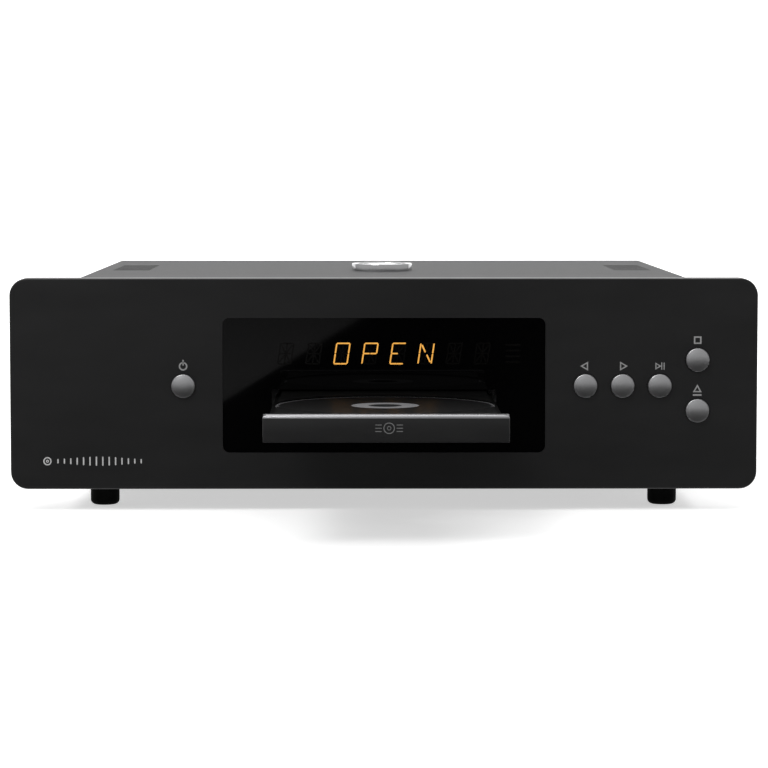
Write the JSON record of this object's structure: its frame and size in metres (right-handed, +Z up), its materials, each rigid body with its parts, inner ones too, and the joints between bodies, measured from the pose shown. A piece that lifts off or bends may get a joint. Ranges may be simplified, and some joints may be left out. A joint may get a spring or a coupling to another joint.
{
  "type": "cd player",
  "caption": "Full-width compact disc player with open loading tray, display window, round buttons, separate case panels and a geared disc loader inside.",
  "frame": {"origin": "on the resting surface, under the middle of the outline with the tray open", "axes": "+X to the listener's right, +Y into the case away from the listener, +Z up"},
  "size_m": [0.432, 0.548, 0.1371],
  "materials": {
    "anodised_black": "brushed, black anodised",
    "window_black": "polished black acrylic",
    "case_paint": "fine satin powder coat",
    "steel_plate": "zinc plated sheet",
    "foot_plastic": "black moulded",
    "screw_black": "black oxide",
    "screw_zinc": "zinc plated",
    "button_silver": "satin turned",
    "badge_metal": "polished",
    "pcb_green": "solder mask",
    "display_glass": "dark display glass",
    "part_black": "moulded",
    "tray_black": "finely textured",
    "tray_front_metal": "brushed, black anodised",
    "disc_face": "dark printed disc with clear hub",
    "socket_black": "glass-filled nylon",
    "socket_white": "insulator",
    "gold_plate": "gold plated",
    "nickel": "nickel plated",
    "gear_white": "acetal",
    "loader_grey": "moulded",
    "belt_rubber": "moulded",
    "motor_can": "drawn can",
    "toroid_wrap": "wound film tape",
    "capacitor_sleeve": "shrink sleeve",
    "heatsink_black": "black anodised extrusion",
    "ribbon_grey": "flat cable",
    "lens_glass": "coated lens",
    "rocker_black": "moulded"
  },
  "bodies": {
    "case": {"front_panel": "anodised_black", "display_window": "window_black", "tact_switches": "part_black", "switch_boards": "pcb_green", "front_bracket": "case_paint", "panel_screws": "screw_zinc", "display_board": "pcb_green", "display_module": "display_glass", "base_pan": "case_paint", "top_cover": "case_paint", "case_screws": "screw_black", "top_badge": "badge_metal", "feet": "foot_plastic", "foot_screws": "screw_zinc", "rear_panel": "case_paint", "mains_inlet": "socket_black", "rca_insulators": "socket_white", "rca_jacks": "gold_plate", "xlr_sockets": "socket_black", "socket_pins": "nickel", "optical_output": "socket_black", "power_switch": "socket_black", "main_board": "pcb_green", "power_board": "pcb_green", "board_chips": "part_black", "board_capacitors": "capacitor_sleeve", "smoothing_capacitors": "capacitor_sleeve", "heat_sinks": "heatsink_black", "transformer": "toroid_wrap", "transformer_clamp": "screw_zinc", "ribbon_cable": "ribbon_grey", "loader_frame": "loader_grey", "loader_pillars": "nickel", "inner_screws": "screw_zinc", "clamp_bridge": "steel_plate", "loading_motor": "motor_can", "loading_belt": "belt_rubber"},
    "tray": {"tray": "tray_black", "tray_front": "tray_front_metal"},
    "disc": {"compact_disc": "disc_face"},
    "puck": {"clamp_puck": "part_black"},
    "motor_pulley": {"motor_pulley": "gear_white"},
    "pulley_gear": {"pulley_gear": "gear_white"},
    "drive_gear": {"drive_gear": "gear_white"},
    "traverse": {"traverse_chassis": "loader_grey", "guide_rods": "nickel", "spindle_motor": "motor_can", "sled_motor": "motor_can"},
    "turntable": {"turntable": "part_black"},
    "sled": {"laser_sled": "part_black"},
    "lens": {"objective_lens": "lens_glass"},
    "sled_gear": {"sled_gear": "gear_white"},
    "cam": {"cam_slider": "gear_white"},
    "rocker": {"power_rocker": "rocker_black"},
    "button_standby": {"button_standby": "button_silver"},
    "button_previous": {"button_previous": "button_silver"},
    "button_next": {"button_next": "button_silver"},
    "button_play": {"button_play": "button_silver"},
    "button_stop": {"button_stop": "button_silver"},
    "button_eject": {"button_eject": "button_silver"}
  },
  "joints": [
    {"name": "tray_slide", "type": "slide", "parent": "case", "child": "tray", "axis": [0, 1, 0], "range_m": [0, 0.168]},
    {"name": "disc_spin", "type": "hinge", "parent": "tray", "child": "disc", "pos_m": [0, -0.195, 0.0672], "axis": [0, 0, 1], "continuous": true},
    {"name": "drive_gear_spin", "type": "hinge", "parent": "case", "child": "drive_gear", "pos_m": [-0.044, -0.072, 0.0569], "axis": [0, 0, 1], "range_deg": [-1215, 5]},
    {"name": "pulley_gear_spin", "type": "hinge", "parent": "case", "child": "pulley_gear", "pos_m": [-0.0232, -0.072, 0.0569], "axis": [0, 0, 1], "range_deg": [-15, 4025]},
    {"name": "motor_pulley_spin", "type": "hinge", "parent": "case", "child": "motor_pulley", "pos_m": [0.0088, -0.072, 0.0569], "axis": [0, 0, 1], "range_deg": [-30, 10560]},
    {"name": "traverse_lift", "type": "hinge", "parent": "case", "child": "traverse", "pos_m": [0, 0.083, 0.0509], "axis": [-1, 0, 0], "range_deg": [0, 4.17]},
    {"name": "cam_slide", "type": "slide", "parent": "case", "child": "cam", "axis": [-1, 0, 0], "range_m": [-0.0005, 0.0245]},
    {"name": "turntable_spin", "type": "hinge", "parent": "traverse", "child": "turntable", "pos_m": [0, -0.02671, 0.0429], "axis": [0, -0.0727, 0.9974], "continuous": true},
    {"name": "sled_slide", "type": "slide", "parent": "traverse", "child": "sled", "axis": [0, 0.9974, 0.0727], "range_m": [0, 0.036]},
    {"name": "sled_gear_spin", "type": "hinge", "parent": "traverse", "child": "sled_gear", "pos_m": [0.0376, 0.02116, 0.04639], "axis": [0, -0.0727, 0.9974], "range_deg": [-375, 5]},
    {"name": "lens_focus", "type": "slide", "parent": "sled", "child": "lens", "axis": [0, -0.0727, 0.9974], "range_m": [-0.0003, 0.0003], "stiffness_N_per_m": 60},
    {"name": "puck_spin", "type": "hinge", "parent": "case", "child": "puck", "pos_m": [0, -0.027, 0.0698], "axis": [0, 0, 1], "continuous": true},
    {"name": "rocker_tilt", "type": "hinge", "parent": "case", "child": "rocker", "pos_m": [-0.094, 0.262, 0.055], "axis": [-1, 0, 0], "range_deg": [0, 18]},
    {"name": "standby_press", "type": "slide", "parent": "case", "child": "button_standby", "axis": [0, 1, 0], "range_m": [0, 0.001], "stiffness_N_per_m": 500},
    {"name": "previous_press", "type": "slide", "parent": "case", "child": "button_previous", "axis": [0, 1, 0], "range_m": [0, 0.001], "stiffness_N_per_m": 500},
    {"name": "next_press", "type": "slide", "parent": "case", "child": "button_next", "axis": [0, 1, 0], "range_m": [0, 0.001], "stiffness_N_per_m": 500},
    {"name": "play_press", "type": "slide", "parent": "case", "child": "button_play", "axis": [0, 1, 0], "range_m": [0, 0.001], "stiffness_N_per_m": 500},
    {"name": "stop_press", "type": "slide", "parent": "case", "child": "button_stop", "axis": [0, 1, 0], "range_m": [0, 0.001], "stiffness_N_per_m": 500},
    {"name": "eject_press", "type": "slide", "parent": "case", "child": "button_eject", "axis": [0, 1, 0], "range_m": [0, 0.001], "stiffness_N_per_m": 500}
  ],
  "couplings": [
    {"joint": "drive_gear_spin", "follows": "tray_slide", "rad_per_m": -125},
    {"joint": "pulley_gear_spin", "follows": "tray_slide", "rad_per_m": 416.67},
    {"joint": "motor_pulley_spin", "follows": "tray_slide", "rad_per_m": 1093.8},
    {"joint": "cam_slide", "follows": "traverse_lift", "m_per_rad": 0.32971},
    {"joint": "sled_gear_spin", "follows": "sled_slide", "rad_per_m": -178.57}
  ]
}
